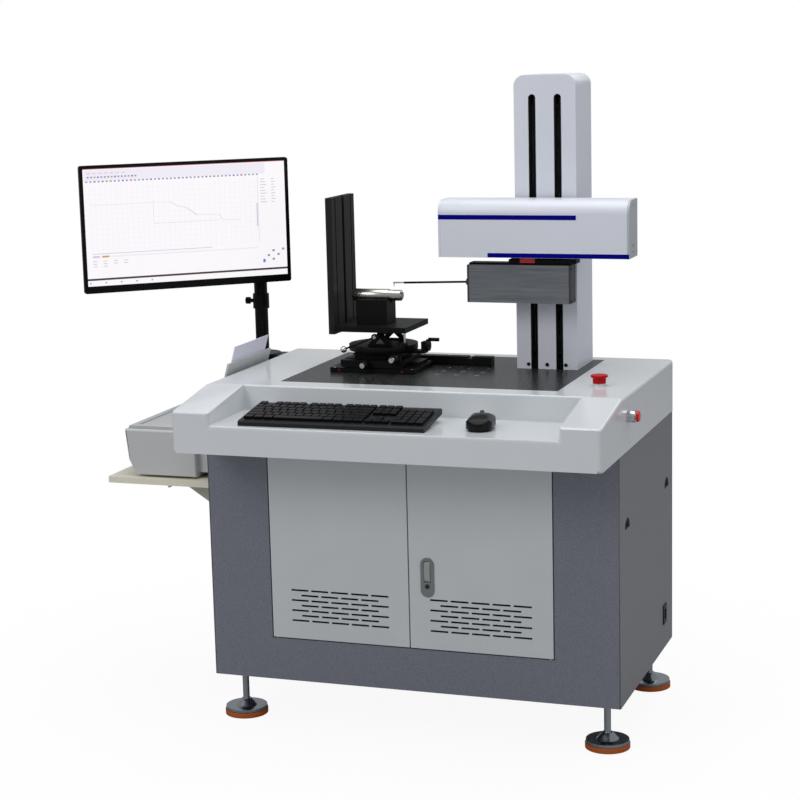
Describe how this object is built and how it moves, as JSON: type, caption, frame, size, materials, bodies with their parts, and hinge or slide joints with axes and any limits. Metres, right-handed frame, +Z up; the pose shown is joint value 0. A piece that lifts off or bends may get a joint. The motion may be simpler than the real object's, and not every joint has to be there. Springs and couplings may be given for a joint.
{
  "type": "surface roughness tester workstation",
  "caption": "Floor-standing stylus surface roughness tester: column and traverse on a granite table over a two-door cabinet, with tilting stage, screen, keyboard and printer shelf.",
  "frame": {"origin": "on the floor, under the middle of the whole outline", "axes": "+X to the operator's right along the table, +Y from its front edge to the back, +Z up"},
  "size_m": [1.4136, 0.75, 1.52],
  "materials": {
    "cabinet_paint": "satin hammertone blue-grey paint",
    "side_paint": "satin grey paint",
    "door_paint": "satin light grey paint",
    "latch_steel": "brushed",
    "lock_blue": "dark blue, glossy",
    "foot_steel": "turned",
    "foot_rubber": "matt orange-brown",
    "table_white": "glossy moulded white-grey",
    "granite": "lapped black granite, fine speckle",
    "button_red": "glossy red",
    "button_grey": "glossy pale grey",
    "bezel_silver": "bright turned rim",
    "black_plastic": "fine-grained matt black",
    "screen": "lit display",
    "shelf_ivory": "ivory laminate",
    "bracket_steel": "dull plated",
    "printer_grey": "fine-grained light grey",
    "paper": "plain",
    "instrument_white": "satin lavender white",
    "cast_grey": "painted casting",
    "screw_steel": "ground",
    "sensor_grey": "dark anodised, brushed",
    "black_anodised": "satin black anodised",
    "pin_steel": "ground"
  },
  "bodies": {
    "workstation": {"cabinet_frame": "cabinet_paint", "side_panels": "side_paint", "power_inlet": "black_plastic", "levelling_feet": "foot_steel", "foot_pads": "foot_rubber", "control_computer": "black_plastic", "table_top": "table_white", "granite_plate": "granite", "estop_collar": "button_grey", "power_button_bezel": "bezel_silver", "keyboard_case": "black_plastic", "keyboard_keys": "black_plastic", "mouse_body": "black_plastic", "monitor_pole": "black_anodised", "shelf_plate": "shelf_ivory", "shelf_brackets": "bracket_steel", "printer_body": "printer_grey", "paper_support": "printer_grey", "paper_stack": "paper", "column_spine": "cast_grey", "column_cover": "instrument_white", "slot_brushes": "black_plastic", "stage_base": "black_anodised", "alignment_rail": "black_anodised"},
    "door_left": {"left_door": "door_paint"},
    "door_right": {"right_door": "door_paint", "latch_plate": "latch_steel"},
    "paddle": {"latch_paddle": "latch_steel"},
    "door_lock": {"lock_cylinder": "lock_blue"},
    "stop_button": {"estop_button": "button_red"},
    "power_cap": {"power_button_cap": "button_red"},
    "wheel": {"mouse_wheel": "black_plastic"},
    "arm": {"monitor_arm": "black_anodised"},
    "head": {"tilt_head": "black_anodised"},
    "monitor": {"monitor_back": "black_plastic", "monitor_bezel": "black_plastic", "screen_panel": "screen"},
    "lid": {"printer_lid": "printer_grey"},
    "paper_tray": {"output_tray": "printer_grey"},
    "lift_screw": {"z_screw": "screw_steel"},
    "traverse": {"traverse_beam": "cast_grey", "traverse_housing": "instrument_white", "housing_end_caps": "instrument_white"},
    "traverse_screw": {"x_screw": "screw_steel"},
    "probe": {"x_carriage": "black_anodised", "sensor_body": "sensor_grey", "sensor_end_plates": "sensor_grey"},
    "needle": {"stylus": "screw_steel"},
    "slide_x": {"cross_slide": "black_anodised"},
    "knob_x": {"x_knob": "black_anodised"},
    "slide_y": {"top_slide": "black_anodised"},
    "knob_y": {"y_knob": "black_anodised"},
    "rotary": {"turntable": "black_anodised"},
    "crank": {"turntable_crank": "black_anodised"},
    "jack": {"tilt_screw": "screw_steel"},
    "lever": {"tilt_lock_lever": "black_anodised"},
    "platform": {"tilt_platform": "black_anodised", "angle_plate": "black_anodised", "v_block": "black_anodised", "test_pin": "pin_steel"}
  },
  "joints": [
    {"name": "left_door_hinge", "type": "hinge", "parent": "workstation", "child": "door_left", "pos_m": [-0.15446, -0.191, 0.4485], "axis": [0, 0, -1], "range_deg": [0, 110]},
    {"name": "right_door_hinge", "type": "hinge", "parent": "workstation", "child": "door_right", "pos_m": [0.51554, -0.191, 0.4485], "axis": [0, 0, 1], "range_deg": [0, 110]},
    {"name": "latch_lift", "type": "hinge", "parent": "door_right", "child": "paddle", "pos_m": [0.22654, -0.197, 0.4255], "axis": [-1, 0, 0], "range_deg": [0, 35], "stiffness_Nm_per_rad": 0.05},
    {"name": "lock_turn", "type": "hinge", "parent": "door_right", "child": "door_lock", "pos_m": [0.22654, -0.185, 0.37], "axis": [0, -1, 0], "range_deg": [0, 90]},
    {"name": "estop_press", "type": "slide", "parent": "workstation", "child": "stop_button", "axis": [0, 0, -1], "range_m": [0, 0.004]},
    {"name": "power_press", "type": "slide", "parent": "workstation", "child": "power_cap", "axis": [-1, 0, 0], "range_m": [0, 0.003], "stiffness_N_per_m": 300},
    {"name": "wheel_turn", "type": "hinge", "parent": "workstation", "child": "wheel", "pos_m": [0.38176, -0.2532, 0.7875], "axis": [0.9903, 0.1392, 0], "continuous": true},
    {"name": "arm_swivel", "type": "hinge", "parent": "workstation", "child": "arm", "pos_m": [-0.39146, 0.325, 1.145], "axis": [0, 0, 1], "range_deg": [-20, 20]},
    {"name": "head_pan", "type": "hinge", "parent": "arm", "child": "head", "pos_m": [-0.55988, 0.19473, 1.168], "axis": [0, 0, 1], "range_deg": [-30, 10]},
    {"name": "monitor_tilt", "type": "hinge", "parent": "head", "child": "monitor", "pos_m": [-0.53931, 0.17022, 1.168], "axis": [-0.766, -0.6428, 0], "range_deg": [-12, 12]},
    {"name": "printer_lid_hinge", "type": "hinge", "parent": "workstation", "child": "lid", "pos_m": [-0.39346, 0.09, 0.697], "axis": [0, 1, 0], "range_deg": [0, 60]},
    {"name": "output_tray_fold", "type": "hinge", "parent": "workstation", "child": "paper_tray", "pos_m": [-0.56146, 0.09, 0.604], "axis": [0, 1, 0], "range_deg": [0, 55]},
    {"name": "z_slide", "type": "slide", "parent": "workstation", "child": "traverse", "axis": [0, 0, 1], "range_m": [-0.002, 0.215]},
    {"name": "z_screw_turn", "type": "hinge", "parent": "workstation", "child": "lift_screw", "pos_m": [0.41654, 0.237, 1.1], "axis": [0, 0, 1], "continuous": true},
    {"name": "x_slide", "type": "slide", "parent": "traverse", "child": "probe", "axis": [-1, 0, 0], "range_m": [-0.1, 0.1]},
    {"name": "x_screw_turn", "type": "hinge", "parent": "traverse", "child": "traverse_screw", "pos_m": [0.40054, 0.117, 1.165], "axis": [-1, 0, 0], "continuous": true},
    {"name": "stylus_pivot", "type": "hinge", "parent": "probe", "child": "needle", "pos_m": [0.27554, 0.115, 1.038], "axis": [0, 1, 0], "range_deg": [-0.8, 3]},
    {"name": "stage_x_slide", "type": "slide", "parent": "workstation", "child": "slide_x", "axis": [1, 0, 0], "range_m": [-0.02, 0.02]},
    {"name": "x_knob_turn", "type": "hinge", "parent": "slide_x", "child": "knob_x", "pos_m": [0.00654, 0.027, 0.845], "axis": [0, 1, 0], "continuous": true},
    {"name": "stage_y_slide", "type": "slide", "parent": "slide_x", "child": "slide_y", "axis": [0, 1, 0], "range_m": [-0.015, 0.015]},
    {"name": "y_knob_turn", "type": "hinge", "parent": "slide_x", "child": "knob_y", "pos_m": [0.08054, 0.027, 0.86], "axis": [0, 1, 0], "continuous": true},
    {"name": "turntable_turn", "type": "hinge", "parent": "slide_y", "child": "rotary", "pos_m": [0.02054, 0.115, 0.877], "axis": [0, 0, 1], "range_deg": [-30, 30]},
    {"name": "crank_turn", "type": "hinge", "parent": "slide_y", "child": "crank", "pos_m": [0.12554, 0.115, 0.8803], "axis": [1, 0, 0], "continuous": true},
    {"name": "platform_tilt", "type": "hinge", "parent": "rotary", "child": "platform", "pos_m": [0.03054, 0.115, 0.911], "axis": [0, -1, 0], "range_deg": [-8, 4]},
    {"name": "tilt_screw_lift", "type": "slide", "parent": "rotary", "child": "jack", "axis": [0, 0, 1], "range_m": [-0.0085, 0.0045]},
    {"name": "lever_swing", "type": "hinge", "parent": "rotary", "child": "lever", "pos_m": [0.03054, 0.0255, 0.911], "axis": [0, 1, 0], "range_deg": [-2, 15]}
  ],
  "couplings": [
    {"joint": "z_screw_turn", "follows": "z_slide", "rad_per_m": 314.16},
    {"joint": "x_screw_turn", "follows": "x_slide", "rad_per_m": 314.16},
    {"joint": "x_knob_turn", "follows": "stage_x_slide", "rad_per_m": 314.16},
    {"joint": "y_knob_turn", "follows": "stage_y_slide", "rad_per_m": 314.16},
    {"joint": "crank_turn", "follows": "turntable_turn", "ratio": 12},
    {"joint": "tilt_screw_lift", "follows": "platform_tilt", "m_per_rad": 0.06}
  ]
}
